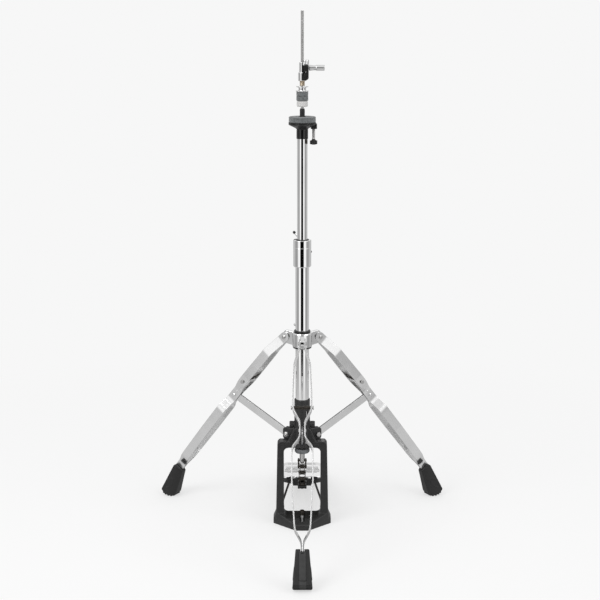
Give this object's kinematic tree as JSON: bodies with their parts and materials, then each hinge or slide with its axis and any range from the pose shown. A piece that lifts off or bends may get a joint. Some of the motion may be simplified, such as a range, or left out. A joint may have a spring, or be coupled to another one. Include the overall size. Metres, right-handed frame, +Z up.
{
  "type": "hi-hat stand",
  "caption": "Hi-hat stand with cast pedal frame, chain-driven footboard, folding double-strip tripod, telescopic column, tilting cymbal seat, pull rod and clutch.",
  "frame": {"origin": "on the column's axis, in the plane of the floor, at the underside of the pedal frame's base", "axes": "+Z up along the column and pull rod; -Y toward the front leg; +Y toward the heel of the footboard; +X on the side of the clutch handle and the tilter screw"},
  "size_m": [0.583, 0.622, 0.98],
  "materials": {
    "chrome": "bright chrome plate",
    "black_casting": "fine-textured black powder coat",
    "bare_steel": "plated steel",
    "black_steel": "black oxide steel",
    "black_rubber": "matt moulded rubber",
    "grey_rubber": "matt grey rubber",
    "black_plastic": "moulded nylon, satin",
    "grey_felt": "pressed wool felt",
    "white_nylon": "white nylon"
  },
  "bodies": {
    "stand_frame": {"pedal_frame": "black_casting", "rod_bumper": "grey_rubber", "lower_tube": "chrome", "height_sleeve": "chrome", "tube_bush": "black_plastic", "return_spring": "black_steel", "heel_plate": "chrome", "radius_rod_left": "black_steel", "radius_rod_right": "black_steel", "brace_front_bolt": "bare_steel", "brace_right_bolt": "bare_steel", "brace_left_bolt": "bare_steel"},
    "anchor": {"anchor_screw": "bare_steel"},
    "upper_column": {"upper_tube": "chrome", "seat_neck": "black_plastic", "neck_set_screw": "black_steel", "seat_base": "black_plastic", "seat_sleeve": "black_rubber"},
    "height_bolt": {"height_t_bolt": "chrome"},
    "collar": {"leg_collar": "chrome", "collar_ring": "black_plastic"},
    "collar_bolt": {"collar_t_bolt": "chrome"},
    "leg_front": {"leg_front_strip_a": "chrome", "leg_front_strip_b": "chrome", "leg_front_hinge_pin": "bare_steel", "leg_front_spacer_bolt": "bare_steel", "leg_front_foot": "black_rubber"},
    "tripod_brace_front": {"brace_front": "chrome"},
    "leg_right": {"leg_right_strip_a": "chrome", "leg_right_strip_b": "chrome", "leg_right_hinge_pin": "bare_steel", "leg_right_spacer_bolt": "bare_steel", "leg_right_foot": "black_rubber"},
    "tripod_brace_right": {"brace_right": "chrome"},
    "leg_left": {"leg_left_strip_a": "chrome", "leg_left_strip_b": "chrome", "leg_left_hinge_pin": "bare_steel", "leg_left_spacer_bolt": "bare_steel", "leg_left_foot": "black_rubber"},
    "tripod_brace_left": {"brace_left": "chrome"},
    "seat": {"seat_plate": "black_plastic", "seat_felt": "grey_felt"},
    "tilter": {"tilter_screw": "chrome", "tilter_knob": "black_plastic"},
    "pull_rod": {"pull_rod_lower": "bare_steel", "pull_rod_upper": "bare_steel", "chain_clevis": "black_steel"},
    "chain": {"chain_link_1": "black_steel", "chain_link_2": "black_steel", "chain_link_3": "black_steel"},
    "pedal": {"footboard": "chrome", "toe_bracket": "black_steel", "chain_anchor": "black_plastic"},
    "clutch": {"clutch_body": "chrome", "clutch_housing": "black_plastic", "clutch_flange_nut": "chrome", "clutch_felt_upper": "grey_felt", "clutch_felt_lower": "grey_felt", "clutch_lower_nut": "white_nylon"},
    "clutch_handle": {"clutch_wing_bolt": "chrome"}
  },
  "joints": [
    {"name": "height_slide", "type": "slide", "parent": "stand_frame", "child": "upper_column", "axis": [0, 0, 1], "range_m": [-0.15, 0]},
    {"name": "height_bolt_turn", "type": "hinge", "parent": "stand_frame", "child": "height_bolt", "pos_m": [0, 0.03, 0.549], "axis": [0, 1, 0], "range_deg": [0, 360]},
    {"name": "tripod_fold", "type": "slide", "parent": "stand_frame", "child": "collar", "axis": [0, 0, 1], "range_m": [0, 0.08]},
    {"name": "collar_bolt_turn", "type": "hinge", "parent": "collar", "child": "collar_bolt", "pos_m": [0, 0.03, 0.368], "axis": [0, 1, 0], "range_deg": [0, 360]},
    {"name": "leg_front_hinge", "type": "hinge", "parent": "collar", "child": "leg_front", "pos_m": [0, -0.037, 0.37], "axis": [1, 0, 0], "range_deg": [0, 17.76]},
    {"name": "brace_front_hinge", "type": "hinge", "parent": "stand_frame", "child": "tripod_brace_front", "pos_m": [0, -0.032, 0.177], "axis": [-1, 0, 0], "range_deg": [0, 29.56]},
    {"name": "leg_right_hinge", "type": "hinge", "parent": "collar", "child": "leg_right", "pos_m": [0.03204, 0.0185, 0.37], "axis": [-0.5, 0.866, 0], "range_deg": [0, 17.76]},
    {"name": "brace_right_hinge", "type": "hinge", "parent": "stand_frame", "child": "tripod_brace_right", "pos_m": [0.02771, 0.016, 0.177], "axis": [0.5, -0.866, 0], "range_deg": [0, 29.56]},
    {"name": "leg_left_hinge", "type": "hinge", "parent": "collar", "child": "leg_left", "pos_m": [-0.03204, 0.0185, 0.37], "axis": [-0.5, -0.866, 0], "range_deg": [0, 17.76]},
    {"name": "brace_left_hinge", "type": "hinge", "parent": "stand_frame", "child": "tripod_brace_left", "pos_m": [-0.02771, 0.016, 0.177], "axis": [0.5, 0.866, 0], "range_deg": [0, 29.56]},
    {"name": "pedal_press", "type": "hinge", "parent": "stand_frame", "child": "pedal", "pos_m": [0, 0.257, 0.02], "axis": [1, 0, 0], "range_deg": [0, 3.65], "stiffness_Nm_per_rad": 20, "springref_deg": -11.46},
    {"name": "pull_rod_slide", "type": "slide", "parent": "stand_frame", "child": "pull_rod", "axis": [0, 0, 1], "range_m": [-0.0166, 0], "deforming": ["return_spring"]},
    {"name": "chain_swing", "type": "hinge", "parent": "pull_rod", "child": "chain", "pos_m": [0, 0, 0.1155], "axis": [1, 0, 0], "range_deg": [-4.8, 0]},
    {"name": "tilter_turn", "type": "hinge", "parent": "upper_column", "child": "tilter", "pos_m": [0.0208, 0, 0.76], "axis": [0, 0, 1], "range_deg": [0, 720]},
    {"name": "seat_tilt", "type": "hinge", "parent": "upper_column", "child": "seat", "pos_m": [-0.0235, 0, 0.7776], "axis": [0, -1, 0], "range_deg": [0, 3.01]},
    {"name": "clutch_slide", "type": "slide", "parent": "pull_rod", "child": "clutch", "axis": [0, 0, 1], "range_m": [0, 0.08]},
    {"name": "clutch_bolt_turn", "type": "hinge", "parent": "clutch", "child": "clutch_handle", "pos_m": [0.02, 0, 0.878], "axis": [1, 0, 0], "range_deg": [0, 360]},
    {"name": "anchor_screw_travel", "type": "slide", "parent": "stand_frame", "child": "anchor", "axis": [0, 0, 1], "range_m": [0, 0.012]}
  ],
  "couplings": [
    {"joint": "leg_front_hinge", "follows": "tripod_fold", "rad_per_m": 3.8703},
    {"joint": "brace_front_hinge", "follows": "tripod_fold", "rad_per_m": 6.4446},
    {"joint": "leg_right_hinge", "follows": "tripod_fold", "rad_per_m": 3.8703},
    {"joint": "brace_right_hinge", "follows": "tripod_fold", "rad_per_m": 6.4446},
    {"joint": "leg_left_hinge", "follows": "tripod_fold", "rad_per_m": 3.8703},
    {"joint": "brace_left_hinge", "follows": "tripod_fold", "rad_per_m": 6.4446},
    {"joint": "pull_rod_slide", "follows": "pedal_press", "m_per_rad": -0.2588},
    {"joint": "chain_swing", "follows": "pedal_press", "ratio": -1.2919},
    {"joint": "seat_tilt", "follows": "tilter_turn", "ratio": 0.0041667}
  ]
}
